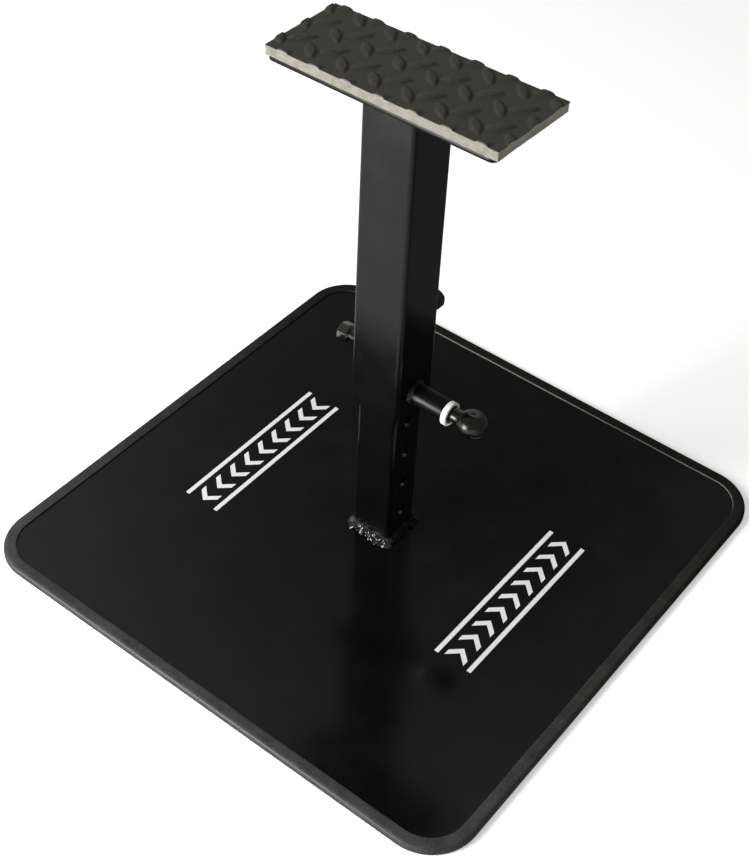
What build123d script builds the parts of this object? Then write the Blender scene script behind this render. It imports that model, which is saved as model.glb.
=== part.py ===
"""Height-adjustable balance stand for gymnastics and cheerleading practice.

A square steel base plate with a rubber edge trim carries a welded square post. A larger square
tube slides over the post and carries a padded top plate. A spring pull pin locks the tube in one
of the post's holes, and two hex-head set bolts take up the play between tube and post.

Millimetres, +Z up. The origin is the centre of the base, on the floor. +X is the side of the
pull pin and the long direction of the top plate.
"""
import os
from math import radians, tan
from build123d import *

os.makedirs("parts", exist_ok=True)

# Base plate and the rubber channel pushed over its edge
base_side = 610.0
base_thickness = 5.0
base_corner = 50.0
trim_wall = 4.0  # rubber outside the plate's edge
trim_leg = 2.5  # rubber above and below the plate
trim_lap = 14.0  # width of the channel seen from above
trim_round = 2.0
trim_lip_round = 0.8
trim_seam_y = 100.0  # where the two ends of the strip meet, on the +X side
trim_seam_gap = 0.4

# Post welded to the base
post_side = 48.0
post_wall = 4.0
post_corner = 5.0
post_top = 384.0
foot_weld_leg = 6.5

# Tube that slides over the post
tube_side = 60.0
tube_wall = 5.0
tube_corner = 5.0
tube_bottom = 197.0
tube_top = 565.0

# Top plate and its mat
top_length = 246.0
top_width = 95.0
top_thickness = 4.5
top_corner = 7.0
top_weld_leg = 5.0
mat_corners = [(-124.0, -48.0), (126.0, -48.0), (129.0, 54.0), (-122.5, 48.5)]  # cut by hand, askew
mat_corner_round = 1.5
foam_thickness = 10.0
skin_thickness = 0.7
lozenge_height = 0.8
lozenge_length = 28.0
lozenge_width = 9.0
lozenge_pitch_x = 35.4
lozenge_pitch_y = 34.5
falling_start = (19.2, 5.0)  # centre of one lozenge that runs towards +X -Y
rising_start = (0.0, 17.75)  # centre of one lozenge that runs towards +X +Y

# Pull pin. Distances along its axis are measured from the tube's face.
pin_z = 220.5
hole_pitch = 44.45  # 1 3/4 in
holes_below_pin = 4
holes_above_pin = 2
hole_d = 11.5
hole_chamfer = 0.5
plunger_d = 10.0
plunger_reach = 13.5  # from the tube's face inwards, when the pin is home
plunger_length = 78.5
plunger_chamfer = 1.2
running_gap = 0.05  # radial, between a sliding or turning shaft and its bore
wall_hole_d = 11.0
barrel_d = 23.5
barrel_length = 40.0  # up to the nose
nose_d = 16.6
nose_length = 7.8
nose_chamfer = 0.3
barrel_weld_leg = 3.5
chamber_d = 17.0
chamber_depth = 33.0
collar_d = 26.0
collar_bore_d = 20.0
collar_length = 6.5
collar_round = 1.2
clip_d = 15.8
clip_groove_d = 8.6
clip_thickness = 1.6
clip_gap = 0.2  # between the clip and the tube's face when the pin is home
spring_wire_d = 1.2
spring_mean_d = 13.2
spring_turns = 8
spring_end_gap = 0.05
knob_d = 31.0
knob_centre = 70.5
knob_neck_d = 16.0
knob_neck_start = 48.0
knob_socket_end = 65.0

# Set bolts (M12) and their welded nuts
left_bolt_z = 251.5
right_bolt_z = 286.0
bolt_d = 12.0
bolt_hole_d = 13.0
hex_across_flats = 19.0
nut_height = 11.0
nut_weld_leg = 3.2
head_height = 12.0
left_head_start = 24.0  # from the tube's face to the underside of the head
right_head_start = 29.5
bolt_tip_gap = 0.3  # between the bolt's tip and the post
bolt_tip_chamfer = 1.0
hex_end_d = 18.0  # round face left by turning the corners off
hex_turning_angle = 60
hex_rotation = 30  # one corner points up

# White vinyl marks on the base: a row of chevrons between two stripes
mark_length = 216.0
mark_thickness = 0.15
mark_centre_x = 174.0
mark_stripe_width = 5.0
mark_stripe_spacing = 41.0
mark_chevrons = 9
mark_chevron_height = 24.0
mark_chevron_depth = 11.0
mark_chevron_stroke = 7.5

# Derived places
plate_bottom = trim_leg
plate_top = plate_bottom + base_thickness
trim_side = base_side + 2 * trim_wall
trim_corner = base_corner + trim_wall
trim_height = base_thickness + 2 * trim_leg
tube_face = tube_side / 2
post_face = post_side / 2
foam_bottom = tube_top + top_thickness
skin_bottom = foam_bottom + foam_thickness
weld_toe = 0.5  # thin edge left where a weld bead runs out
hole_heights = [pin_z + k * hole_pitch for k in range(-holes_below_pin, holes_above_pin + 1)]

# Axes: +Z of each plane points away from the tube
pin_plane = Plane(origin=(tube_face, 0, pin_z), x_dir=(0, 1, 0), z_dir=(1, 0, 0))
left_plane = Plane(origin=(-tube_face, 0, left_bolt_z), x_dir=(0, -1, 0), z_dir=(-1, 0, 0))
right_plane = Plane(origin=(0, tube_face, right_bolt_z), x_dir=(1, 0, 0), z_dir=(0, 1, 0))


# ---------------------------------------------------------------- base
with BuildPart() as base_plate:
    with BuildSketch(Plane.XY.offset(plate_bottom)):
        RectangleRounded(base_side, base_side, base_corner)
    extrude(amount=base_thickness)
base_plate.part.label = "base_plate"
export_step(base_plate.part, "parts/base_plate.step")

# A U-shaped channel: a rounded ring with a pocket for the plate's edge
with BuildPart() as edge_trim:
    with BuildSketch():
        RectangleRounded(trim_side, trim_side, trim_corner)
        window = trim_side - 2 * trim_lap
        RectangleRounded(window, window, trim_corner - trim_lap, mode=Mode.SUBTRACT)
    extrude(amount=trim_height)
    top_face = edge_trim.faces().sort_by(Axis.Z)[-1]
    bottom_face = edge_trim.faces().sort_by(Axis.Z)[0]
    outer_edges = top_face.outer_wire().edges() + bottom_face.outer_wire().edges()
    fillet(outer_edges, trim_round)
    top_face = edge_trim.faces().sort_by(Axis.Z)[-1]
    fillet(top_face.inner_wires()[0].edges(), trim_lip_round)
    with BuildSketch(Plane.XY.offset(plate_bottom)):
        RectangleRounded(base_side, base_side, base_corner)
    extrude(amount=base_thickness, mode=Mode.SUBTRACT)
    with Locations((trim_side / 2, trim_seam_y, trim_height / 2)):
        Box(4 * trim_lap, trim_seam_gap, 2 * trim_height, mode=Mode.SUBTRACT)
edge_trim.part.label = "edge_trim"
export_step(edge_trim.part, "parts/edge_trim.step")


# ---------------------------------------------------------------- marks on the base
def chevron_points(y, turn):
    """Outline of one chevron centred at y, pointing along +Y, or -Y where turn is -1."""
    half = mark_chevron_height / 2
    back = y - (mark_chevron_depth + mark_chevron_stroke) / 2
    outline = [
        (-half, back),
        (0, back + mark_chevron_depth),
        (half, back),
        (half, back + mark_chevron_stroke),
        (0, back + mark_chevron_depth + mark_chevron_stroke),
        (-half, back + mark_chevron_stroke),
    ]
    return [(turn * (mark_centre_x + x), turn * along) for x, along in outline]


chevron_pitch = mark_length / mark_chevrons
chevron_rows = [(k - (mark_chevrons - 1) / 2) * chevron_pitch for k in range(mark_chevrons)]
for name, turn in (("mark_left", -1), ("mark_right", 1)):
    with BuildPart() as mark:
        with BuildSketch(Plane.XY.offset(plate_top)):
            for side in (-1, 1):
                with Locations((turn * (mark_centre_x + side * mark_stripe_spacing / 2), 0)):
                    Rectangle(mark_stripe_width, mark_length)
            for y in chevron_rows:
                Polygon(*chevron_points(y, turn), align=None)
        extrude(amount=mark_thickness)
    mark.part.label = name
    export_step(mark.part, f"parts/{name}.step")


# ---------------------------------------------------------------- post
with BuildPart() as inner_post:
    with BuildSketch(Plane.XY.offset(plate_top)):
        RectangleRounded(post_side, post_side, post_corner)
        bore_side = post_side - 2 * post_wall
        RectangleRounded(bore_side, bore_side, post_corner - post_wall, mode=Mode.SUBTRACT)
    extrude(amount=post_top - plate_top)
    with BuildSketch(Plane.YZ.offset(post_face)):
        with Locations(*[(0, z) for z in hole_heights]):
            Circle(hole_d / 2)
    extrude(amount=-1.5 * post_wall, mode=Mode.SUBTRACT)
    hole_rims = inner_post.edges().filter_by(GeomType.CIRCLE).group_by(Axis.X)[-1]
    chamfer(hole_rims, hole_chamfer)
inner_post.part.label = "inner_post"
export_step(inner_post.part, "parts/inner_post.step")

with BuildPart() as foot_weld:
    with BuildSketch(Plane.XY.offset(plate_top)):
        foot = post_side + 2 * foot_weld_leg
        RectangleRounded(foot, foot, post_corner + foot_weld_leg)
    extrude(amount=foot_weld_leg - weld_toe, taper=45)
    with BuildSketch(Plane.XY.offset(plate_top)):
        RectangleRounded(post_side, post_side, post_corner)
    extrude(amount=foot_weld_leg, mode=Mode.SUBTRACT)
foot_weld.part.label = "foot_weld"
export_step(foot_weld.part, "parts/foot_weld.step")


# ---------------------------------------------------------------- sliding tube and top plate
with BuildPart() as outer_tube:
    with BuildSketch(Plane.XY.offset(tube_bottom)):
        RectangleRounded(tube_side, tube_side, tube_corner)
        inside = tube_side - 2 * tube_wall
        RectangleRounded(inside, inside, 0.4 * tube_corner, mode=Mode.SUBTRACT)
    extrude(amount=tube_top - tube_bottom)
    for plane, diameter in (
        (pin_plane, wall_hole_d),
        (left_plane, bolt_hole_d),
        (right_plane, bolt_hole_d),
    ):
        with BuildSketch(plane):
            Circle(diameter / 2)
        extrude(amount=-1.5 * tube_wall, mode=Mode.SUBTRACT)
outer_tube.part.label = "outer_tube"
export_step(outer_tube.part, "parts/outer_tube.step")

with BuildPart() as top_plate:
    with BuildSketch(Plane.XY.offset(tube_top)):
        RectangleRounded(top_length, top_width, top_corner)
    extrude(amount=top_thickness)
top_plate.part.label = "top_plate"
export_step(top_plate.part, "parts/top_plate.step")

with BuildPart() as top_plate_weld:
    under_plate = Plane(origin=(0, 0, tube_top), z_dir=(0, 0, -1))
    with BuildSketch(under_plate):
        head = tube_side + 2 * top_weld_leg
        RectangleRounded(head, head, tube_corner + top_weld_leg)
    extrude(amount=top_weld_leg - weld_toe, taper=45)
    with BuildSketch(under_plate):
        RectangleRounded(tube_side, tube_side, tube_corner)
    extrude(amount=top_weld_leg, mode=Mode.SUBTRACT)
top_plate_weld.part.label = "top_plate_weld"
export_step(top_plate_weld.part, "parts/top_plate_weld.step")

with BuildSketch() as mat_outline:
    Polygon(*mat_corners, align=None)
    fillet(mat_outline.vertices(), mat_corner_round)

with BuildPart() as tread_foam:
    with BuildSketch(Plane.XY.offset(foam_bottom)):
        add(mat_outline.sketch)
    extrude(amount=foam_thickness)
tread_foam.part.label = "tread_foam"
export_step(tread_foam.part, "parts/tread_foam.step")

# The tread: pointed lozenges in two families, turned 45 degrees to either side
with BuildSketch() as lozenge:
    with BuildLine():
        for side in (-1, 1):
            middle = (0, side * lozenge_width / 2)
            ThreePointArc((-lozenge_length / 2, 0), middle, (lozenge_length / 2, 0))
    make_face()

lozenge_places = []
for (start_x, start_y), turn in ((falling_start, -45), (rising_start, 45)):
    for column in range(-4, 5):
        for row in range(-2, 3):
            x = start_x + column * lozenge_pitch_x
            y = start_y + row * lozenge_pitch_y
            lozenge_places.append(Location((x, y, 0), (0, 0, turn)))

with BuildPart() as tread_skin:
    with BuildSketch(Plane.XY.offset(skin_bottom)):
        add(mat_outline.sketch)
    extrude(amount=skin_thickness)
    with BuildSketch(Plane.XY.offset(skin_bottom + skin_thickness)):
        with Locations(*lozenge_places):
            add(lozenge.sketch)
        add(mat_outline.sketch, mode=Mode.INTERSECT)
    extrude(amount=lozenge_height)
tread_skin.part.label = "tread_skin"
export_step(tread_skin.part, "parts/tread_skin.step")


# ---------------------------------------------------------------- pull pin
# The barrel: a chamber for the spring, open at the tube, and a nose that guides the plunger
with BuildPart() as pin_barrel:
    with BuildSketch(pin_plane):
        Circle(barrel_d / 2)
    extrude(amount=barrel_length)
    with BuildSketch(pin_plane.offset(barrel_length)):
        Circle(nose_d / 2)
    extrude(amount=nose_length)
    rim = pin_barrel.faces().sort_by(Axis.X)[-1].outer_wire().edges()
    chamfer(rim, nose_chamfer)
    with BuildSketch(pin_plane):
        Circle(chamber_d / 2)
    extrude(amount=chamber_depth, mode=Mode.SUBTRACT)
    with BuildSketch(pin_plane):
        Circle(plunger_d / 2 + running_gap)
    extrude(amount=barrel_length + nose_length, mode=Mode.SUBTRACT)
pin_barrel.part.label = "pin_barrel"
export_step(pin_barrel.part, "parts/pin_barrel.step")

with BuildPart() as pin_barrel_weld:
    with BuildSketch(pin_plane):
        Circle(barrel_d / 2 + barrel_weld_leg)
    extrude(amount=barrel_weld_leg - weld_toe, taper=45)
    with BuildSketch(pin_plane):
        Circle(barrel_d / 2)
    extrude(amount=barrel_weld_leg, mode=Mode.SUBTRACT)
pin_barrel_weld.part.label = "pin_barrel_weld"
export_step(pin_barrel_weld.part, "parts/pin_barrel_weld.step")

# Loose white ring. It hangs on the barrel's nose, so its axis lies a little lower.
collar_drop = (collar_bore_d - nose_d) / 2
collar_plane = Plane(
    origin=(tube_face + barrel_length, 0, pin_z - collar_drop), x_dir=(0, 1, 0), z_dir=(1, 0, 0)
)
with BuildPart() as pin_collar:
    with BuildSketch(collar_plane):
        Circle(collar_d / 2)
    extrude(amount=collar_length)
    fillet(pin_collar.edges().filter_by(GeomType.CIRCLE), collar_round)
    with BuildSketch(collar_plane):
        Circle(collar_bore_d / 2)
    extrude(amount=collar_length, mode=Mode.SUBTRACT)
pin_collar.part.label = "pin_collar"
export_step(pin_collar.part, "parts/pin_collar.step")

with BuildPart() as pin_plunger:
    with BuildSketch(pin_plane.offset(-plunger_reach)):
        Circle(plunger_d / 2)
    extrude(amount=plunger_length)
    chamfer(pin_plunger.edges().sort_by(Axis.X)[0], plunger_chamfer)
    with BuildSketch(pin_plane.offset(clip_gap)):
        Circle(plunger_d / 2 + 1)
        Circle(clip_groove_d / 2, mode=Mode.SUBTRACT)
    extrude(amount=clip_thickness, mode=Mode.SUBTRACT)
pin_plunger.part.label = "pin_plunger"
export_step(pin_plunger.part, "parts/pin_plunger.step")

# Open clip in the plunger's groove. The spring pushes on it.
with BuildPart() as plunger_clip:
    with BuildSketch(pin_plane.offset(clip_gap)):
        Circle(clip_d / 2)
        Circle(clip_groove_d / 2, mode=Mode.SUBTRACT)
        with Locations((0, clip_d / 2)):
            Rectangle(0.7 * clip_groove_d, clip_d, mode=Mode.SUBTRACT)
    extrude(amount=clip_thickness)
plunger_clip.part.label = "plunger_clip"
export_step(plunger_clip.part, "parts/plunger_clip.step")

spring_start = clip_gap + clip_thickness + spring_end_gap + spring_wire_d / 2
spring_end = chamber_depth - spring_end_gap - spring_wire_d / 2
with BuildPart() as pin_spring:
    with BuildLine() as coil:
        Helix(
            pitch=(spring_end - spring_start) / spring_turns,
            height=spring_end - spring_start,
            radius=spring_mean_d / 2,
            center=(tube_face + spring_start, 0, pin_z),
            direction=(1, 0, 0),
        )
    with BuildSketch(Plane(origin=coil.line @ 0, z_dir=coil.line % 0)):
        Circle(spring_wire_d / 2)
    sweep(is_frenet=True)
pin_spring.part.label = "pin_spring"
export_step(pin_spring.part, "parts/pin_spring.step")

with BuildPart() as pin_knob:
    with Locations(pin_plane.offset(knob_centre).location):
        Sphere(knob_d / 2)
    with BuildSketch(pin_plane.offset(knob_neck_start)):
        Circle(knob_neck_d / 2)
    extrude(amount=knob_centre - knob_neck_start)
    with BuildSketch(pin_plane.offset(knob_neck_start)):
        Circle(plunger_d / 2)
    extrude(amount=knob_socket_end - knob_neck_start, mode=Mode.SUBTRACT)
pin_knob.part.label = "pin_knob"
export_step(pin_knob.part, "parts/pin_knob.step")


# ---------------------------------------------------------------- set bolts
def add_hex_prism(plane, height):
    """Hexagonal prism on the plane, with its corners turned off at the far end."""
    with BuildSketch(plane) as outline:
        RegularPolygon(hex_across_flats / 2, 6, major_radius=False, rotation=hex_rotation)
    extrude(outline.sketch, amount=height)
    with BuildSketch(plane) as cone_foot:
        Circle(hex_end_d / 2 + height * tan(radians(hex_turning_angle)))
    extrude(cone_foot.sketch, amount=height, taper=hex_turning_angle, mode=Mode.INTERSECT)


bolt_tip = -(tube_face - post_face - bolt_tip_gap)
for side, plane, head_start in (
    ("left", left_plane, left_head_start),
    ("right", right_plane, right_head_start),
):
    with BuildPart() as weld_nut:
        add_hex_prism(plane, nut_height)
        with BuildSketch(plane):
            Circle(bolt_d / 2 + running_gap)
        extrude(amount=nut_height, mode=Mode.SUBTRACT)
    weld_nut.part.label = f"{side}_weld_nut"
    export_step(weld_nut.part, f"parts/{side}_weld_nut.step")

    # Weld bead round the nut's foot
    with BuildPart() as nut_weld:
        with BuildSketch(plane):
            Circle(hex_across_flats / 3**0.5 + nut_weld_leg)
        extrude(amount=nut_weld_leg - weld_toe, taper=45)
        with BuildSketch(plane):
            RegularPolygon(hex_across_flats / 2, 6, major_radius=False, rotation=hex_rotation)
        extrude(amount=nut_weld_leg, mode=Mode.SUBTRACT)
    nut_weld.part.label = f"{side}_nut_weld"
    export_step(nut_weld.part, f"parts/{side}_nut_weld.step")

    # The bolt's tip stops just short of the post
    with BuildPart() as set_bolt:
        add_hex_prism(plane.offset(head_start), head_height)
        with BuildSketch(plane.offset(bolt_tip)):
            Circle(bolt_d / 2 - bolt_tip_chamfer)
        extrude(amount=bolt_tip_chamfer, taper=-45)
        with BuildSketch(plane.offset(bolt_tip + bolt_tip_chamfer)):
            Circle(bolt_d / 2)
        extrude(amount=head_start - bolt_tip - bolt_tip_chamfer)
    set_bolt.part.label = f"{side}_set_bolt"
    export_step(set_bolt.part, f"parts/{side}_set_bolt.step")
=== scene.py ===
"""Looks of the height-adjustable balance stand.

Lengths are millimetres until they reach a mesh. In the studio section they are metres."""

from math import cos, pi, radians, sin, tan

import bmesh
import bpy
import numpy as np
from mathutils import Matrix, Vector, noise


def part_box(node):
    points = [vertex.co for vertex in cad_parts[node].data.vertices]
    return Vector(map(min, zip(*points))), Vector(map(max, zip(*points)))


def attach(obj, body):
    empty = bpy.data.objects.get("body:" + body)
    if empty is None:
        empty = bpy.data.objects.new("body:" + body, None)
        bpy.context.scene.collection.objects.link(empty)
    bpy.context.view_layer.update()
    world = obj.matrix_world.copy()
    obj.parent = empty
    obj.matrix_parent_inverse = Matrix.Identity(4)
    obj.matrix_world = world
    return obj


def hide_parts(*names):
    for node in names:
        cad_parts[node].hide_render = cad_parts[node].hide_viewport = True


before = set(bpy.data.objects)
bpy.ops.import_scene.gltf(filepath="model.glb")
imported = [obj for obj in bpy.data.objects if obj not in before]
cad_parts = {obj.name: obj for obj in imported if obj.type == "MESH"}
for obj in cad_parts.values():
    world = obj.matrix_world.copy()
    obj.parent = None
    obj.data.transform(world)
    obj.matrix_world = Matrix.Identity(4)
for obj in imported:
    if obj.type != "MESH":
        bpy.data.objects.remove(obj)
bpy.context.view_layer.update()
scene = bpy.context.scene
MM = 0.001

# ---------------------------------------------------------------- places, from the frame
def node_box(node):
    """Lowest and highest corner of a CAD node, in millimetres."""
    low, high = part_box(node)
    return low / MM, high / MM


plate_top = node_box("base_plate")[1].z
post_side = 2 * node_box("inner_post")[1].x
tube_high = node_box("outer_tube")[1]
tube_side = 2 * tube_high.x
tube_face = tube_side / 2
mat_low = node_box("tread_foam")[0]
skin_high = node_box("tread_skin")[1]
top_low, top_high = node_box("top_plate")
trim_low, trim_high = node_box("edge_trim")
barrel_low, barrel_high = node_box("pin_barrel")
pin_z = (barrel_low.z + barrel_high.z) / 2
post_corner = 5.0
tube_corner = 5.0


# ---------------------------------------------------------------- mesh helpers
def add_object(name, points, faces, material, sharp_angle=35):
    """A mesh object with outward normals, smooth except at edges sharper than the angle."""
    mesh = bpy.data.meshes.new(name)
    mesh.from_pydata([Vector(p) * MM for p in points], [], faces)
    work = bmesh.new()
    work.from_mesh(mesh)
    bmesh.ops.recalc_face_normals(work, faces=work.faces)
    work.to_mesh(mesh)
    work.free()
    mesh.polygons.foreach_set("use_smooth", [True] * len(mesh.polygons))
    mesh.set_sharp_from_angle(angle=radians(sharp_angle))
    mesh.materials.append(material)
    obj = bpy.data.objects.new(name, mesh)
    scene.collection.objects.link(obj)
    return obj


def skin(rings, loop=False):
    """Points and faces through equal closed rings: a fan over each end, or joined end to end in a loop."""
    count = len(rings[0])
    points = [p for ring in rings for p in ring]
    faces = []
    for r in range(len(rings) if loop else len(rings) - 1):
        first, second = r * count, (r + 1) % len(rings) * count
        for k in range(count):
            after = (k + 1) % count
            faces.append((first + k, first + after, second + after, second + k))
    if not loop:
        for start in (0, (len(rings) - 1) * count):
            middle = sum((Vector(p) for p in points[start : start + count]), Vector()) / count
            points.append(middle)
            for k in range(count):
                faces.append((start + k, start + (k + 1) % count, len(points) - 1))
    return points, faces


def stand(origin, axis):
    """Matrix of a frame whose +Z is the axis, with +Y upwards for a level axis."""
    z = Vector(axis)
    y = Vector((0, 0, 1)) if abs(z.z) < 0.5 else Vector((0, 1, 0))
    x = y.cross(z)
    turn = Matrix((x, y, z)).transposed()
    return Matrix.Translation(Vector(origin)) @ turn.to_4x4()


def turned_rings(profile, place, steps=64):
    """Rings of a body of revolution. The profile lists (height, radius)."""
    angles = [2 * pi * k / steps for k in range(steps)]
    return [[place @ Vector((r * cos(a), r * sin(a), h)) for a in angles] for h, r in profile]


def arc(centre, radius, start, end, steps):
    """Points (height, radius) on an arc, with angles in degrees from the height axis."""
    turns = [radians(start + (end - start) * k / steps) for k in range(steps + 1)]
    return [(centre[0] + radius * cos(t), centre[1] + radius * sin(t)) for t in turns]


def walk(length, width, radius, distance):
    """Point and outward normal on a rounded rectangle, a distance on from the middle of its +X side."""
    place, heading = complex(length / 2, 0), 1j
    sides = (width / 2, length, width, length, width / 2)
    for k, side in enumerate(sides):
        run = side - (radius if k in (0, 4) else 2 * radius)
        if distance <= run or k == 4:
            place += heading * distance
            break
        place += heading * run
        distance -= run
        out = -1j * heading
        centre = place - out * radius
        if distance <= radius * pi / 2:
            out *= np.exp(1j * distance / radius)
            place = centre + out * radius
            return Vector((place.real, place.imag, 0)), Vector((out.real, out.imag, 0))
        distance -= radius * pi / 2
        heading *= 1j
        place = centre - 1j * heading * radius
    out = -1j * heading
    return Vector((place.real, place.imag, 0)), Vector((out.real, out.imag, 0))


def perimeter(length, width, radius):
    """Length of a rounded rectangle's outline."""
    return 2 * (length + width) - (8 - 2 * pi) * radius


def rounded_outline(length, width, radius, spacing):
    """Points and normals round a rounded rectangle, evenly spaced."""
    total = perimeter(length, width, radius)
    count = round(total / spacing)
    return [walk(length, width, radius, total * k / count) for k in range(count)]


def rounded_ring(length, width, radius, z, corner_steps=6):
    """Ring of a rounded rectangle with points only where it turns."""
    ring = []
    for k, (sx, sy) in enumerate(((1, 1), (-1, 1), (-1, -1), (1, -1))):
        for j in range(corner_steps + 1):
            turn = pi / 2 * (k + j / corner_steps)
            x = sx * (length / 2 - radius) + radius * cos(turn)
            y = sy * (width / 2 - radius) + radius * sin(turn)
            ring.append((x, y, z))
    return ring


def lump(point, scale, seed):
    """Smooth noise from -1 to 1 at a point, with lumps of about the given size."""
    return noise.noise(Vector(point) / scale + Vector((seed, 2 * seed, 3 * seed)))


# ---------------------------------------------------------------- materials
class Shader:
    """A material with a Principled BSDF, and short ways to add nodes to it."""

    def __init__(self, name):
        self.material = bpy.data.materials.new(name)
        self.material.use_nodes = True
        self.nodes = self.material.node_tree.nodes
        self.links = self.material.node_tree.links
        self.bsdf = next(n for n in self.nodes if n.type == "BSDF_PRINCIPLED")
        self.place = self.nodes.new("ShaderNodeTexCoord").outputs["Object"]
        self.normal = None

    def set(self, **values):
        """Sets the shader's own sockets, named with _ for a space."""
        for name, value in values.items():
            self.bsdf.inputs[name.replace("_", " ")].default_value = value

    def noise(self, size, detail=4, rough=0.55, stretch=(1, 1, 1)):
        """Noise from 0 to 1 with lumps of about the given size in millimetres."""
        mapping = self.nodes.new("ShaderNodeMapping")
        mapping.inputs["Scale"].default_value = stretch
        self.links.new(self.place, mapping.inputs["Vector"])
        texture = self.nodes.new("ShaderNodeTexNoise")
        texture.inputs["Scale"].default_value = 1 / (size * MM)
        texture.inputs["Detail"].default_value = detail
        texture.inputs["Roughness"].default_value = rough
        self.links.new(mapping.outputs["Vector"], texture.inputs["Vector"])
        return texture.outputs["Fac"]

    def cells(self, size):
        """Distances in a cell pattern with cells of about the given size in millimetres."""
        texture = self.nodes.new("ShaderNodeTexVoronoi")
        texture.inputs["Scale"].default_value = 1 / (size * MM)
        self.links.new(self.place, texture.inputs["Vector"])
        return texture.outputs["Distance"]

    def remap(self, value, low, high, to_low=0.0, to_high=1.0):
        """The value's range low to high, moved to another range and held there."""
        node = self.nodes.new("ShaderNodeMapRange")
        node.inputs["From Min"].default_value = low
        node.inputs["From Max"].default_value = high
        node.inputs["To Min"].default_value = to_low
        node.inputs["To Max"].default_value = to_high
        self.links.new(value, node.inputs["Value"])
        return node.outputs["Result"]

    def math(self, kind, first, second):
        """A sum, product or other operation on two values, each a socket or a number."""
        node = self.nodes.new("ShaderNodeMath")
        node.operation = kind
        for socket, value in zip(node.inputs, (first, second)):
            if isinstance(value, (int, float)):
                socket.default_value = value
            else:
                self.links.new(value, socket)
        return node.outputs["Value"]

    def blend(self, factor, first, second):
        """Colour from first to second as the factor goes from 0 to 1."""
        node = self.nodes.new("ShaderNodeMix")
        node.data_type = "RGBA"
        self.links.new(factor, node.inputs["Factor"])
        for name, value in (("A", first), ("B", second)):
            socket = next(s for s in node.inputs if s.name == name and s.type == "RGBA")
            if isinstance(value, tuple):
                socket.default_value = (*value, 1)
            else:
                self.links.new(value, socket)
        return next(s for s in node.outputs if s.type == "RGBA")

    def towards(self, direction, of_normal=False):
        """Share of the place, in metres, or of the surface's normal that lies along a direction."""
        source = self.place
        if of_normal:
            source = self.nodes.new("ShaderNodeNewGeometry").outputs["Normal"]
        node = self.nodes.new("ShaderNodeVectorMath")
        node.operation = "DOT_PRODUCT"
        node.inputs[1].default_value = direction
        self.links.new(source, node.inputs[0])
        return node.outputs["Value"]

    def colour(self, value):
        """Links the base colour to a socket."""
        self.links.new(value, self.bsdf.inputs["Base Color"])

    def roughness(self, value):
        """Links the roughness to a socket."""
        self.links.new(value, self.bsdf.inputs["Roughness"])

    def bump(self, height, depth):
        """Adds relief whose full height is the depth in millimetres."""
        node = self.nodes.new("ShaderNodeBump")
        node.inputs["Strength"].default_value = 1.0
        node.inputs["Distance"].default_value = depth * MM
        self.links.new(height, node.inputs["Height"])
        if self.normal is not None:
            self.links.new(self.normal, node.inputs["Normal"])
        self.normal = node.outputs["Normal"]
        self.links.new(self.normal, self.bsdf.inputs["Normal"])

    def orange_peel(self, depth):
        """Soft ripple of sprayed paint."""
        self.bump(self.noise(3.2, 2, 0.4), depth)


coat_black = (0.0022, 0.0023, 0.0023)
peel_depth = 0.012


def powder_coat(name, rough_low, rough_high, peel, dust, specular=0.5, hole_glint=0.0):
    """Black powder coat: a slight orange peel, patches of duller gloss and a film of dust.

    Faces that point up can be given a pale painted highlight. It stands in for the glints on the lower walls
    of the post's holes."""
    shader = Shader(name)
    shader.set(IOR=1.5, Specular_IOR_Level=specular)
    dusty = shader.remap(shader.noise(90, 5), 0.45, 0.75)
    specks = shader.remap(shader.cells(7.0), 0.0, 0.06, 1.0, 0.0)
    film = shader.math("MULTIPLY", shader.math("ADD", dusty, specks), dust)
    tone = shader.blend(film, coat_black, (0.09, 0.09, 0.09))
    # Painted highlight: faces that point up turn pale, for the glints in the holes.
    painted_glint = shader.remap(shader.towards((0, 0, 1), True), 0.88, 0.98, 0.0, hole_glint)
    shader.colour(shader.blend(painted_glint, tone, (0.62, 0.62, 0.60)) if hole_glint else tone)
    shader.roughness(shader.remap(shader.noise(45, 4), 0.3, 0.7, rough_low, rough_high))
    shader.orange_peel(peel_depth * peel)
    return shader.material


def weld_coat(name, glint_fade_from, glint_full_from, glint_brightness):
    """Thick black coat over a weld, with a painted highlight on the lumps that face -Y: they turn to glossy
    metal there so that they glint.

    The painted highlight fades in between two distances towards -Y, in metres."""
    shader = Shader(name)
    shader.set(IOR=1.5, Specular_IOR_Level=0.2)
    # Painted highlight: towards -Y the coat becomes bright glossy metal so the lumps there glint, while
    # those towards +X stay dark coat.
    painted_glint = shader.remap(shader.towards((0, -1, 0)), glint_fade_from, glint_full_from)
    patches = shader.noise(9, 4)
    coat = shader.blend(patches, coat_black, (0.006, 0.006, 0.006))
    glint_metal = shader.blend(shader.remap(patches, 0.4, 0.6), (0.5 * glint_brightness,) * 3, (glint_brightness,) * 3)
    shader.colour(shader.blend(painted_glint, coat, glint_metal))
    shader.links.new(painted_glint, shader.bsdf.inputs["Metallic"])
    shader.roughness(shader.remap(patches, 0.3, 0.7, 0.06, 0.10))
    shader.orange_peel(peel_depth)
    return shader.material


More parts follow.
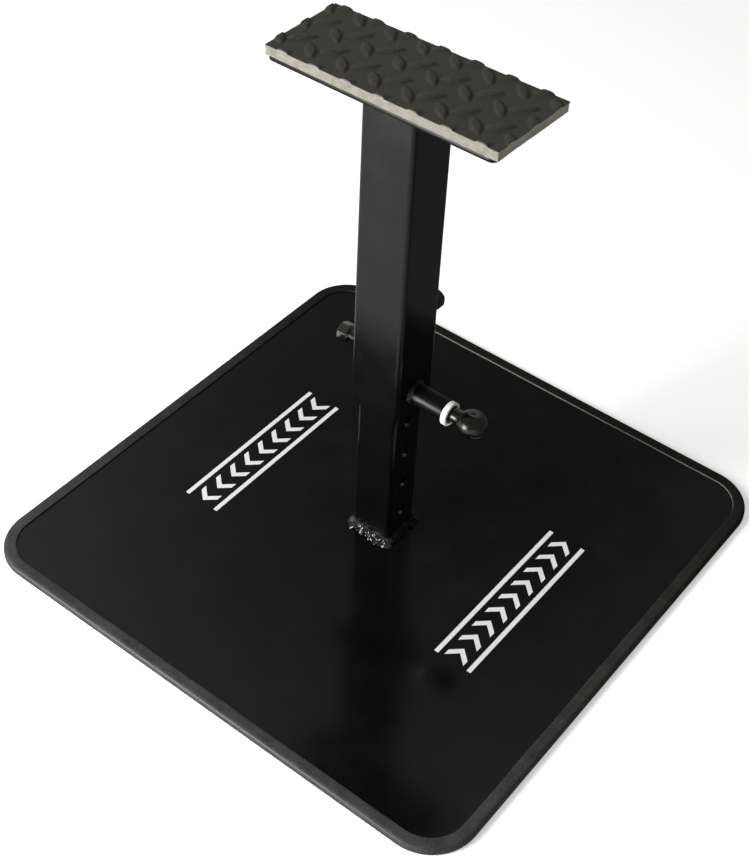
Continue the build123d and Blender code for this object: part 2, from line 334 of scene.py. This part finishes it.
def trim_rubber_look():
    """Matte rubber channel with a leathery grain.

    Its grain and scuffs are mottled. The tone is painted lighter at the front and darker at the back, as
    painted light and shade, and the lip that faces the front carries a painted highlight along the back
    strip."""
    shader = Shader("trim_rubber")
    shader.set(IOR=1.5, Specular_IOR_Level=0.15)
    mottle = shader.noise(2.2, 5, 0.7)
    scuffs = shader.noise(28, 5, 0.6)
    grain = shader.math("MULTIPLY", mottle, 0.75)
    tone = shader.remap(shader.math("ADD", grain, shader.math("MULTIPLY", scuffs, 0.45)), 0.42, 0.82)
    # Painted light and shade: darker tones at the back and lighter ones at the front stand in for the lamps'
    # falloff from the front.
    shaded_back_tone = shader.blend(tone, (0.0025, 0.0025, 0.0018), (0.010, 0.0105, 0.0075))
    lit_front_tone = shader.blend(tone, (0.022, 0.023, 0.022), (0.078, 0.080, 0.077))
    painted_falloff_tone = shader.blend(shader.remap(shader.towards((0, 1, 0)), 0.31, -0.27), shaded_back_tone, lit_front_tone)
    # Painted highlight: a pale line on the lip of the back strip, where the lip faces the lamps at the
    # front.
    lip = shader.remap(shader.towards((-0.45, -0.89, 0), True), 0.35, 0.8)
    at_back = shader.remap(shader.towards((0.3, 0.95, 0)), 0.16, 0.24)
    painted_lip_highlight = shader.math("MULTIPLY", shader.math("MULTIPLY", lip, at_back), mottle)
    shader.colour(shader.blend(painted_lip_highlight, painted_falloff_tone, (0.30, 0.30, 0.25)))
    shader.roughness(shader.remap(scuffs, 0.3, 0.7, 0.45, 0.6))
    shader.bump(shader.cells(0.9), 0.05)
    shader.bump(mottle, 0.06)
    return shader.material


def vinyl():
    """White vinyl with a faint mottle where it follows the paint below."""
    shader = Shader("white_vinyl")
    shader.set(IOR=1.46)
    shader.colour(shader.blend(shader.noise(14, 4), (0.80, 0.80, 0.79), (0.90, 0.90, 0.90)))
    shader.roughness(shader.remap(shader.noise(6, 3), 0.3, 0.7, 0.28, 0.42))
    shader.orange_peel(0.01)
    return shader.material


def cut_foam():
    """Knife-cut foam: fine closed cells with grey and beige layers, and painted shade darkening the middle
    of each pore.
    """
    shader = Shader("cut_foam")
    shader.set(IOR=1.4, Specular_IOR_Level=0.2)
    layers = shader.noise(7, 4, 0.6, (1, 1, 4))
    patches = shader.noise(12, 4, 0.65)
    tone = shader.blend(shader.remap(layers, 0.35, 0.65), (0.236, 0.223, 0.187), (0.308, 0.291, 0.249))
    tone = shader.blend(shader.remap(patches, 0.42, 0.70, 0.0, 0.55), tone, (0.160, 0.145, 0.115))
    pores = shader.remap(shader.cells(0.8), 0.0, 0.5)
    # Painted shade: each pore is darker towards its middle.
    shader.colour(shader.blend(shader.remap(pores, 0.0, 0.35, 0.5, 0.0), tone, (0.10, 0.09, 0.075)))
    shader.roughness(shader.remap(patches, 0.3, 0.7, 0.8, 0.95))
    shader.bump(pores, 0.12)
    shader.bump(shader.noise(2.5, 4, 0.65), 0.25)
    return shader.material


def tread_rubber():
    """Charcoal skin of the mat: a fine weave, patches a little browner, and a lighter brown band along the
    front edge.
    """
    shader = Shader("tread_rubber")
    shader.set(IOR=1.45, Specular_IOR_Level=0.28)
    patches = shader.noise(60, 4)
    charcoal, brown = (0.0308, 0.0302, 0.0250), (0.0365, 0.0335, 0.0265)
    tone = shader.blend(shader.remap(patches, 0.35, 0.65), charcoal, brown)
    # Lighter and browner towards the front edge.
    front_band = shader.remap(shader.towards((0, -1, 0)), 0.030, 0.050, 0.0, 0.6)
    tone = shader.blend(front_band, tone, (0.050, 0.036, 0.022))
    weave = shader.noise(2.2, 5, 0.7)
    fine = shader.noise(0.8, 3, 0.6)
    tone = shader.blend(shader.remap(weave, 0.38, 0.60, 0.0, 0.75), tone, (0.013, 0.013, 0.0107))
    shader.colour(shader.blend(shader.remap(fine, 0.42, 0.70, 0.0, 0.8), tone, (0.085, 0.084, 0.072)))
    shader.roughness(shader.remap(shader.noise(9, 4), 0.3, 0.7, 0.42, 0.54))
    shader.bump(weave, 0.16)
    shader.bump(fine, 0.06)
    return shader.material


def gloss_black(name, tint, rough, metallic=0.0, specular=0.5):
    """Smooth gloss black, with fine wipe marks in the gloss."""
    shader = Shader(name)
    shader.set(IOR=1.5, Metallic=metallic, Specular_IOR_Level=specular)
    wipes = shader.noise(5, 4, 0.6, (1, 3, 3))
    shader.colour(shader.blend(wipes, tuple(0.6 * c for c in tint), tint))
    shader.roughness(shader.remap(wipes, 0.3, 0.7, rough, rough + 0.08))
    shader.bump(shader.noise(1.5, 3, 0.5), 0.004)
    return shader.material


def nylon():
    """Natural white nylon with faint turning marks."""
    shader = Shader("white_nylon")
    shader.set(IOR=1.53, Subsurface_Weight=0.15, Subsurface_Scale=0.002)
    shader.colour(shader.blend(shader.noise(5, 4), (0.78, 0.78, 0.75), (0.88, 0.88, 0.86)))
    shader.roughness(shader.remap(shader.noise(2, 3), 0.3, 0.7, 0.35, 0.5))
    shader.bump(shader.noise(0.7, 2, 0.5, (4, 1, 1)), 0.02)
    return shader.material


def bare_steel(name, shade):
    """Drawn steel wire or rod with fine lengthwise streaks."""
    shader = Shader(name)
    shader.set(Metallic=1.0)
    streaks = shader.noise(1.2, 4, 0.6, (0.1, 1, 1))
    shader.colour(shader.blend(streaks, tuple(0.7 * c for c in shade), shade))
    shader.roughness(shader.remap(streaks, 0.3, 0.7, 0.25, 0.4))
    shader.bump(streaks, 0.004)
    return shader.material


base_paint = powder_coat("base_powder_coat", 0.11, 0.18, 0.5, 0.015)
tube_paint = powder_coat("tube_powder_coat", 0.13, 0.20, 1.2, 0.015)
# The post's holes get the painted highlight on their lower walls.
post_paint = powder_coat("post_powder_coat", 0.13, 0.20, 1.2, 0.015, hole_glint=1.0)
top_plate_paint = powder_coat("top_plate_powder_coat", 0.30, 0.40, 1.0, 0.01, 0.12)
foot_weld_paint = weld_coat("foot_weld_coat", 0.020, 0.027, 0.24)
fitting_weld_paint = weld_coat("fitting_weld_coat", 0.004, 0.009, 0.08)
trim_rubber = trim_rubber_look()
mark_vinyl = vinyl()
foam = cut_foam()
tread = tread_rubber()
pin_paint = gloss_black("pin_gloss_black", (0.005, 0.005, 0.005), 0.26, specular=0.10)
knob_black = gloss_black("knob_phenolic", (0.005, 0.0045, 0.002), 0.08, specular=1.0)
bolt_zinc = gloss_black("bolt_black_zinc", (0.34, 0.34, 0.33), 0.08, 1.0)
# Painted shade: a darker, rougher copy of the bolt zinc, for the bolt and nut on the +Y side, which stand in
# shade.
bolt_zinc_painted_shade = gloss_black("bolt_black_zinc_painted_shade", (0.055, 0.055, 0.055), 0.30, 1.0)
collar_nylon = nylon()
plunger_oxide = bare_steel("plunger_black_oxide", (0.06, 0.058, 0.05))
spring_steel = bare_steel("spring_steel", (0.45, 0.44, 0.42))

for node, material in {
    "base_plate": base_paint,
    "inner_post": post_paint,
    "outer_tube": tube_paint,
    "mark_left": mark_vinyl,
    "mark_right": mark_vinyl,
    "pin_plunger": plunger_oxide,
    "plunger_clip": plunger_oxide,
    "pin_spring": spring_steel,
}.items():
    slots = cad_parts[node].data.materials
    slots.clear()
    slots.append(material)


def stands_for(piece, body, slot, *nodes):
    """The piece rides on the body in place of the CAD nodes."""
    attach(piece, body)
    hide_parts(*nodes)


# ---------------------------------------------------------------- rubber edge trim
trim_wall = 4.0
trim_leg = 2.5
trim_lap = 14.0
trim_lower_lap = 13.95
trim_side = trim_high.x - trim_low.x
trim_corner = 54.0
trim_height = trim_high.z
seam_y = 100.0
seam_gap = 0.4
trim_spacing = 2.5


def trim_section(lip_shift, crown):
    """Outline of the U channel as (distance in from the outer edge, height), for one place along it."""
    lip = trim_lap + lip_shift
    upper, lower = trim_height - trim_leg, trim_leg
    section = arc((2.2, 2.2), 2.2, 180, 270, 5)
    section += [(6.0, 0.0), (10.0, 0.0), (13.0, 0.0), (13.7, 0.25), (trim_lower_lap, 0.9)]
    section += [(trim_lower_lap, lower), (9.0, lower), (trim_wall, lower), (trim_wall, upper), (9.0, upper)]
    section += [(lip, upper), (lip, upper + 0.9), (lip - 0.25, upper + 1.45), (lip - 0.8, upper + 1.75)]
    section += [(10.5, trim_height - 0.45 + 0.3 * crown), (8.0, trim_height - 0.2 + 0.5 * crown)]
    section += [(5.5, trim_height - 0.05 + 0.4 * crown), (3.8, trim_height - 0.1 + 0.1 * crown)]
    section += [(2.0, trim_height - 0.7), (0.9, trim_height - 1.6), (0.25, trim_height - 2.9)]
    section += [(0.0, trim_height - 4.4), (0.0, 4.2)]
    return section


trim_total = perimeter(trim_side, trim_side, trim_corner)
trim_steps = round(trim_total / trim_spacing)
trim_rings = []
for k in range(trim_steps + 1):
    along = seam_gap / 2 + (trim_total - seam_gap) * k / trim_steps
    point, out = walk(trim_side, trim_side, trim_corner, (seam_y + along) % trim_total)
    lip_shift = 0.45 * lump(point, 60, 3)
    crown = 0.5 * lump(point, 35, 7) - 0.5
    ring = []
    for inwards, z in trim_section(lip_shift, crown):
        ring.append(point - out * inwards + Vector((0, 0, min(z, trim_height))))
    trim_rings.append(ring)
stands_for(
    add_object("rubber_edge_trim", *skin(trim_rings), trim_rubber, 50),
    "base", "trim_rubber", "edge_trim",
)


# ---------------------------------------------------------------- weld beads
bead_steps = 8
ripple_pitch = 4.6


def weld_bead(name, foot, up, leg, seed, material):
    """Lumpy bead in the corner between a wall that rises along up and the face it stands on.

    The foot is a closed line of (point, outward normal) along that corner. The bead's ends sink a
    little into both faces."""
    rings = []
    travelled = 0.0
    up = Vector(up)
    for k, (point, out) in enumerate(foot):
        travelled += (point - foot[k - 1][0]).length if k else 0.0
        ring = []
        for j in range(bead_steps + 1):
            angle = pi / 2 * j / bead_steps
            swell = 0.5 / (cos(angle) + sin(angle)) + 0.5
            ahead = point + (out * sin(angle) + up * cos(angle)) * leg
            phase = 2 * pi * travelled / ripple_pitch
            ripple = cos(phase + 1.4 * sin(2 * angle) + 2 * lump(point, 20, seed))
            uneven = 0.30 * lump(ahead, 6.0, seed) + 0.24 * lump(ahead, 3.4, seed + 5) + 0.05 * ripple
            reach = leg * swell * (1 + uneven)
            sunk_out, sunk_up = reach * sin(angle) - 0.15, reach * cos(angle) - 0.15
            ring.append(point + out * sunk_out + up * sunk_up)
        ring.append(point - out * 0.3 - up * 0.3)
        rings.append(ring)
    return add_object(name, *skin(rings, loop=True), material, 60)


def square_foot(side, corner, z, spacing=0.9):
    """The line where a square tube meets a level face."""
    raised = Vector((0, 0, z))
    return [(p + raised, n) for p, n in rounded_outline(side, side, corner, spacing)]


def round_foot(place, radius, steps=84):
    """The line where a round bar stands on a face."""
    foot = []
    for k in range(steps):
        out = Vector((cos(2 * pi * k / steps), sin(2 * pi * k / steps), 0))
        foot.append((place @ (out * radius), place.to_3x3() @ out))
    return foot


post_foot = square_foot(post_side, post_corner, plate_top)
foot_weld = weld_bead("post_foot_weld", post_foot, (0, 0, 1), 8.0, 11, foot_weld_paint)
stands_for(foot_weld, "base", "black_powder_coat", "foot_weld")
tube_foot = square_foot(tube_side, tube_corner, top_low.z)
top_weld = weld_bead("top_plate_weld_bead", tube_foot, (0, 0, -1), 5.5, 23, foot_weld_paint)
stands_for(top_weld, "carriage", "black_powder_coat", "top_plate_weld")


# ---------------------------------------------------------------- top plate
def slab_rings(length, width, corner, low, high, round_off):
    """Rings of a flat plate with its edges broken."""
    inner = (length - 2 * round_off, width - 2 * round_off, max(corner - round_off, 0.3))
    softer = 0.3 * round_off
    middle = (length - 2 * softer, width - 2 * softer, corner - softer)
    outer = (length, width, corner)
    heights = (
        (inner, low), (middle, low + softer), (outer, low + round_off),
        (outer, high - round_off), (middle, high - softer), (inner, high),
    )
    return [rounded_ring(*size, z) for size, z in heights]


plate_length, plate_width = top_high.x - top_low.x, top_high.y - top_low.y
top_rings = slab_rings(plate_length, plate_width, 7.0, top_low.z, top_high.z, 0.6)
top_plate = add_object("steel_top_plate", *skin(top_rings), top_plate_paint, 50)
stands_for(top_plate, "carriage", "black_powder_coat", "top_plate")


# ---------------------------------------------------------------- mat
# The grids of the two families of lozenges each start at one lozenge's centre, and so does the CAD's.
lozenge_length = 29.0
lozenge_width = 11.5
lozenge_pitch_x = 35.4
lozenge_pitch_y = 34.5
falling_start = (19.2, 5.0)
rising_start = (0.0, 17.75)
skin_thickness = 0.5


def lozenge_height(x, y):
    """Relief of the tread from 0 to 1: soft long domes in two families, 45 degrees to either side."""
    height = np.zeros_like(x)
    for turn, (start_x, start_y) in ((-1, falling_start), (1, rising_start)):
        dx = x - start_x - lozenge_pitch_x * np.round((x - start_x) / lozenge_pitch_x)
        dy = y - start_y - lozenge_pitch_y * np.round((y - start_y) / lozenge_pitch_y)
        along = (dx + turn * dy) / 2**0.5 / (lozenge_length / 2)
        across = (dy - turn * dx) / 2**0.5 / (lozenge_width / 2)
        pointed = 1 + 0.8 * along**2
        inside = np.clip(1 - along**2 - across**2 * pointed, 0, 1)
        soft = np.clip(1.3 * inside, 0, 1)
        height = np.maximum(height, 0.65 * soft * soft * (3 - 2 * soft) + 0.35 * inside)
    return height


# The mat was cut by hand: its outline is no true rectangle, and these are its corners from the CAD.
mat_corners = ((-124.0, -48.0), (126.0, -48.0), (129.0, 54.0), (-122.5, 48.5))
mat_length, mat_width = 252, 99  # its mean sides, roughly, for the count of cells


def mat_grid(nx, ny):
    """Even grid over the mat, whose outline was cut a little askew."""
    u, v = np.meshgrid(np.linspace(0, 1, nx + 1), np.linspace(0, 1, ny + 1), indexing="ij")
    shares = ((1 - u) * (1 - v), u * (1 - v), u * v, (1 - u) * v)
    x = sum(share * corner[0] for share, corner in zip(shares, mat_corners))
    y = sum(share * corner[1] for share, corner in zip(shares, mat_corners))
    return x, y


def lattice_block(name, spacing, low, high, side_rows, swell, material, sharp_angle):
    """Closed block over the mat's outline, between two height functions of x and y arrays.

    The swell moves the points of its four sides outwards."""
    nx, ny = round(mat_length / spacing), round(mat_width / spacing)
    x, y = mat_grid(nx, ny)
    points, faces = [], []
    index = {}
    for level, surface in ((0, low(x, y)), (side_rows, high(x, y))):
        for i in range(nx + 1):
            for j in range(ny + 1):
                index[i, j, level] = len(points)
                points.append([x[i, j], y[i, j], surface[i, j]])
        for i in range(nx):
            for j in range(ny):
                corners = ((i, j), (i + 1, j), (i + 1, j + 1), (i, j + 1))
                faces.append([index[a, b, level] for a, b in corners])
    rim = [(i, 0) for i in range(nx)] + [(nx, j) for j in range(ny)]
    rim += [(i, ny) for i in range(nx, 0, -1)] + [(0, j) for j in range(ny, 0, -1)]
    for i, j in rim:
        bottom, top = points[index[i, j, 0]], points[index[i, j, side_rows]]
        for level in range(1, side_rows):
            share = level / side_rows
            index[i, j, level] = len(points)
            points.append([bottom[0], bottom[1], bottom[2] + share * (top[2] - bottom[2])])
    for k, (i, j) in enumerate(rim):
        a, b = rim[(k + 1) % len(rim)]
        for level in range(side_rows):
            corners = ((i, j, level), (a, b, level), (a, b, level + 1), (i, j, level + 1))
            faces.append([index[c] for c in corners])
    for i, j in rim:
        for level in range(side_rows + 1):
            p = points[index[i, j, level]]
            out_x = 0 if 0 < i < nx else (1 if i else -1)
            out_y = 0 if 0 < j < ny else (1 if j else -1)
            p[0], p[1], _ = Vector(p) + Vector((out_x, out_y, 0)) * swell(p, level / side_rows)
    return add_object(name, points, faces, material, sharp_angle)


# The domes' tops stand a quarter of a millimetre above the CAD skin.
relief = 2.1
skin_valley = skin_high.z - relief + 0.25


def skin_top(x, y):
    """Height of the skin's tread."""
    return skin_valley + relief * lozenge_height(x, y)


def skin_underside(x, y):
    """Height where the skin meets the foam, which fills most of each dome."""
    return skin_valley - skin_thickness + 0.6 * relief * lozenge_height(x, y)


def foam_bottom(x, y):
    """Level height of the foam's underside, just clear of the top plate."""
    return np.full_like(x, mat_low.z + 0.02)


def foam_swell(point, share):
    """Knife marks and a slight pinch at half height."""
    return -0.35 + 0.3 * lump(point, 9, 31) + 0.12 * lump(point, 2.2, 37) - 0.3 * sin(pi * share)


def skin_swell(point, share):
    """Slightly uneven cut edge of the skin."""
    return -0.15 + 0.15 * lump(point, 12, 41)


mat_foam = lattice_block("mat_foam", 1.3, foam_bottom, skin_underside, 6, foam_swell, foam, 40)
stands_for(mat_foam, "carriage", "mat_foam", "tread_foam")
mat_skin = lattice_block("mat_tread_skin", 0.75, skin_underside, skin_top, 2, skin_swell, tread, 40)
stands_for(mat_skin, "carriage", "mat_skin", "tread_skin")


# ---------------------------------------------------------------- pull pin
# Profiles list (height from the tube's face, radius). The barrel's chamber is closed by its nose.
pin_place = stand((tube_face, 0, pin_z), (1, 0, 0))
turning_steps = 96
barrel_radius, chamber_radius = 11.75, 8.5
barrel_end, chamber_end, nose_end = 40.0, 33.0, 47.8
nose_radius, stem_bore = 8.3, 5.3
barrel_profile = [(0.0, chamber_radius), (0.0, barrel_radius)]
barrel_profile += arc((barrel_end - 0.5, barrel_radius - 0.5), 0.5, 90, 0, 3)
barrel_profile += [(barrel_end, nose_radius), (47.5, nose_radius), (nose_end, 8.0), (nose_end, 5.6)]
barrel_profile += [(47.5, stem_bore), (chamber_end, stem_bore), (chamber_end, chamber_radius)]
barrel_rings = turned_rings(barrel_profile, pin_place, turning_steps)
pin_barrel = add_object("pin_barrel_shell", *skin(barrel_rings, loop=True), pin_paint)
stands_for(pin_barrel, "carriage", "pin_black", "pin_barrel")
barrel_foot = round_foot(pin_place, barrel_radius)
barrel_weld = weld_bead("pin_barrel_weld_bead", barrel_foot, (1, 0, 0), 3.2, 51, fitting_weld_paint)
stands_for(barrel_weld, "carriage", "black_powder_coat", "pin_barrel_weld")

collar_low, collar_high = node_box("pin_collar")
collar_place = stand((tube_face, 0, (collar_low.z + collar_high.z) / 2), (1, 0, 0))
collar_radius, collar_bore = 12.98, 10.02
collar_profile = [(40.02, 10.3)]
collar_profile += arc((41.2, 11.8), 1.18, 180, 90, 4)
collar_profile += [(42.9, collar_radius), (43.05, 12.8), (43.35, 12.8), (43.5, collar_radius)]
collar_profile += arc((45.2, 11.7), 1.28, 90, 0, 5)
collar_profile += [(46.48, 10.3), (46.2, collar_bore), (40.3, collar_bore)]
collar_rings = turned_rings(collar_profile, collar_place, turning_steps)
pin_collar = add_object("nylon_pin_collar", *skin(collar_rings, loop=True), collar_nylon)
stands_for(pin_collar, "carriage", "white_nylon", "pin_collar")

knob_radius = 15.5
neck_radius = 7.9
ball_centre = 70.5
knob_bore, knob_bore_end, knob_start = 5.05, 65.05, 48.0
neck_angle = 33
knob_profile = [(knob_bore_end, 0.5), (knob_bore_end, knob_bore), (knob_start, knob_bore)]
knob_profile += arc((48.6, neck_radius - 0.6), 0.6, 180, 90, 3)
knob_profile += [(50.5, neck_radius), (54.8, neck_radius), (56.2, neck_radius + 0.15)]
knob_profile += arc((ball_centre, 0), knob_radius, 180 - neck_angle, 4, 34)
knob_rings = turned_rings(knob_profile, pin_place, turning_steps)
pin_knob = add_object("pin_ball_knob", *skin(knob_rings), knob_black)
stands_for(pin_knob, "pull_pin", "knob_black", "pin_knob")


# ---------------------------------------------------------------- set bolts and their nuts
across_flats = 19.0
nut_height = 11.0
head_height = 12.0
bolt_radius = 6.0
thread_depth = 0.95
thread_pitch = 1.75
thread_steps = 9
bolt_tip = 5.7
tip_chamfer = 1.1
hex_steps = 60
chamfer_radius = 9.0
chamfer_slope = tan(radians(30))


def hexagon(angle):
    """Distance from the centre to a hexagon's side, with its corners just worn round."""
    off = (angle + pi / 6) % (pi / 3) - pi / 6
    return min(across_flats / 2 / cos(off), across_flats / 3**0.5 * 0.985)


def hex_ring(place, height, inset=0.0, chamfer_from=None):
    """Ring round a hexagon. Where its corners are turned off, the ring dips to the turned cone."""
    ring = []
    for k in range(hex_steps):
        angle = 2 * pi * k / hex_steps
        reach = hexagon(angle) - inset
        level = height
        if chamfer_from is not None:
            level = min(height, chamfer_from - max(0.0, reach - chamfer_radius) * chamfer_slope)
        ring.append(place @ Vector((reach * cos(angle), reach * sin(angle), level)))
    return ring


def round_ring(place, height, radius):
    """Ring with as many points as a hexagon's."""
    return turned_rings([(height, radius)], place, hex_steps)[0]


def turned_corners(place, top):
    """The two rings of a hexagon whose corners are turned off below its top."""
    return [hex_ring(place, top - 0.45, 0.0, top - 0.4), hex_ring(place, top - 0.2, 0.3, top - 0.15)]


def threaded_rings(place, start, end):
    """Rings of a threaded shank with flat crests, running out at its tip."""
    rings = []
    steps = round((end - start) / (thread_pitch / thread_steps))
    for i in range(steps + 1):
        height = start + (end - start) * i / steps
        ring = []
        for k in range(hex_steps):
            angle = 2 * pi * k / hex_steps
            turn = (height / thread_pitch - k / hex_steps) % 1
            crest = min(1.0, max(0.0, 1.35 * (1 - abs(2 * turn - 1)) - 0.12))
            radius = bolt_radius - 0.02 - thread_depth * (1 - crest)
            radius = min(radius, bolt_radius - tip_chamfer + (height - start))
            ring.append(place @ Vector((radius * cos(angle), radius * sin(angle), height)))
        rings.append(ring)
    return rings


def add_set_bolt(name, place, head_start, finish):
    """Hex-head bolt: thread up to a washer face under the head, and a dished top."""
    top = head_start + head_height
    rings = threaded_rings(place, -bolt_tip, head_start)
    rings.append(round_ring(place, head_start, 8.7))
    rings.append(round_ring(place, head_start + 0.35, 8.8))
    rings.append(hex_ring(place, head_start + 0.4, 0.45))
    rings.append(hex_ring(place, head_start + 0.8))
    rings += turned_corners(place, top)
    rings.append(round_ring(place, top - 0.12, 8.8))
    rings.append(round_ring(place, top, 8.4))
    rings.append(round_ring(place, top - 0.25, 7.1))
    rings.append(round_ring(place, top - 0.3, 2.0))
    return add_object(name, *skin(rings), finish, 40)


def add_weld_nut(name, place, finish):
    """Hex nut with a countersunk bore and its outer corners turned off."""
    bore = bolt_radius + 0.05
    rings = [round_ring(place, 0.0, bore), hex_ring(place, 0.0)]
    rings += turned_corners(place, nut_height)
    rings.append(round_ring(place, nut_height - 0.1, 8.8))
    rings.append(round_ring(place, nut_height, 8.4))
    rings.append(round_ring(place, nut_height, 7.0))
    rings.append(round_ring(place, nut_height - 0.9, bore))
    return add_object(name, *skin(rings, loop=True), finish, 40)


def hex_foot(place, steps=120, corner_reach=10.5):
    """The line where a hexagon stands on a face, with its corners cut a little round."""
    foot = []
    for k in range(steps):
        angle = 2 * pi * k / steps
        reach = min(hexagon(angle), corner_reach)
        out = Vector((cos(angle), sin(angle), 0))
        foot.append((place @ (out * reach), place.to_3x3() @ out))
    return foot


bolt_sides = (
    ("left", (-1, 0, 0), 24.0, bolt_zinc),
    # The right bolt and nut take the painted-shade copy of the zinc.
    ("right", (0, 1, 0), 29.5, bolt_zinc_painted_shade),
)
for side, axis, head_start, finish in bolt_sides:
    bolt_low, bolt_high = node_box(f"{side}_set_bolt")
    bolt_z = (bolt_low.z + bolt_high.z) / 2
    place = stand(Vector(axis) * tube_face + Vector((0, 0, bolt_z)), axis)
    nut = add_weld_nut(f"{side}_hex_weld_nut", place, finish)
    stands_for(nut, "carriage", "bolt_black", f"{side}_weld_nut")
    bead = weld_bead(f"{side}_nut_weld_bead", hex_foot(place), axis, 3.4, 61 + len(side), fitting_weld_paint)
    stands_for(bead, "carriage", "black_powder_coat", f"{side}_nut_weld")
    bolt = add_set_bolt(f"{side}_hex_set_bolt", place, head_start, finish)
    stands_for(bolt, f"{side}_bolt", "bolt_black", f"{side}_set_bolt")


# ---------------------------------------------------------------- studio
# A little glow keeps the floor white far from the lights.
floor_white = Shader("studio_floor_white")
floor_white.set(Base_Color=(0.93, 0.93, 0.93, 1), Roughness=0.9, Specular_IOR_Level=0.0)
floor_white.set(Emission_Color=(1, 1, 1, 1), Emission_Strength=0.45)

floor_half = 12.0
floor_corners = [(x * floor_half, y * floor_half, 0) for x, y in ((-1, -1), (1, -1), (1, 1), (-1, 1))]
floor_mesh = bpy.data.meshes.new("studio_floor")
floor_mesh.from_pydata(floor_corners, [], [(0, 1, 2, 3)])
floor_mesh.materials.append(floor_white.material)
floor = bpy.data.objects.new("studio_floor", floor_mesh)
scene.collection.objects.link(floor)


def soft_light(name, place, aim, size, power):
    """Rectangular softbox at a place, aimed at a point, in metres and watts."""
    data = bpy.data.lights.new(name, "AREA")
    data.shape = "RECTANGLE"
    data.size, data.size_y = size
    data.energy = power
    light = bpy.data.objects.new(name, data)
    light.location = place
    light.rotation_euler = (Vector(aim) - Vector(place)).to_track_quat("-Z", "Y").to_euler()
    scene.collection.objects.link(light)
    return light


# The glint shows only in reflections, and the overhead light never does.
low_place, low_aim = (-0.45, -1.35, 0.30), (0, 0, 0.3)
low_light = soft_light("low_light", low_place, low_aim, (1.3, 0.8), 3)
low_light.visible_camera = False
glint = soft_light("glint", low_place, low_aim, (0.6, 0.5), 75)
glint.visible_camera = False
glint.visible_diffuse = False
overhead = soft_light("overhead", (-1.15, -2.2, 1.75), (0, 0, 0.1), (1.2, 1.2), 114)
overhead.visible_glossy = False

# The room seen in the gloss: soft and even above, with a darker corner behind the stand, and a floor
# that fades towards the back. The white floor itself is left out of reflections.
floor.visible_glossy = False
world = bpy.data.worlds.new("studio")
scene.world = world
world.use_nodes = True
room = world.node_tree
background = room.nodes["Background"]
background.inputs["Color"].default_value = (0.96, 1.0, 0.94, 1)
direction = room.nodes.new("ShaderNodeTexCoord").outputs["Generated"]


def room_ramp(toward, low, high, to_low, to_high):
    """Brightness that follows the direction's share towards a fixed direction in the room."""
    share = room.nodes.new("ShaderNodeVectorMath")
    share.operation = "DOT_PRODUCT"
    share.inputs[1].default_value = toward
    room.links.new(direction, share.inputs[0])
    ramp = room.nodes.new("ShaderNodeMapRange")
    for name, value in (("From Min", low), ("From Max", high), ("To Min", to_low), ("To Max", to_high)):
        ramp.inputs[name].default_value = value
    room.links.new(share.outputs["Value"], ramp.inputs["Value"])
    return ramp.outputs["Result"]


def room_product(first, second):
    """Product of two brightnesses of the room."""
    node = room.nodes.new("ShaderNodeMath")
    node.operation = "MULTIPLY"
    room.links.new(first, node.inputs[0])
    room.links.new(second, node.inputs[1])
    return node.outputs["Value"]


behind = (-0.36, 0.623, 0.695)
up = (0, 0, 1)
dark_corner = room_ramp(behind, 0.950, 0.997, 0.5, 0.08)
ceiling = room_product(dark_corner, room_ramp(behind, 0.70, 0.88, 0.25, 1.0))
floor_fade = room_ramp((0.59, 0.81, 0.0), -0.6, 0.6, 0.7, 0.1)
blend = room.nodes.new("ShaderNodeMix")
room.links.new(room_ramp(up, -0.06, 0.06, 0, 1), blend.inputs["Factor"])
room.links.new(floor_fade, blend.inputs["A"])
room.links.new(ceiling, blend.inputs["B"])
room.links.new(blend.outputs["Result"], background.inputs["Strength"])

camera_data = bpy.data.cameras.new("camera")
camera_data.lens = 66.22
camera_data.sensor_width = 36.0
camera = bpy.data.objects.new("camera", camera_data)
camera.location = (0.6829, -0.9649, 1.3063)
camera.rotation_euler = (radians(45.597), radians(-2.147), radians(38.113))
scene.collection.objects.link(camera)
scene.camera = camera
scene.view_settings.view_transform = "Standard"
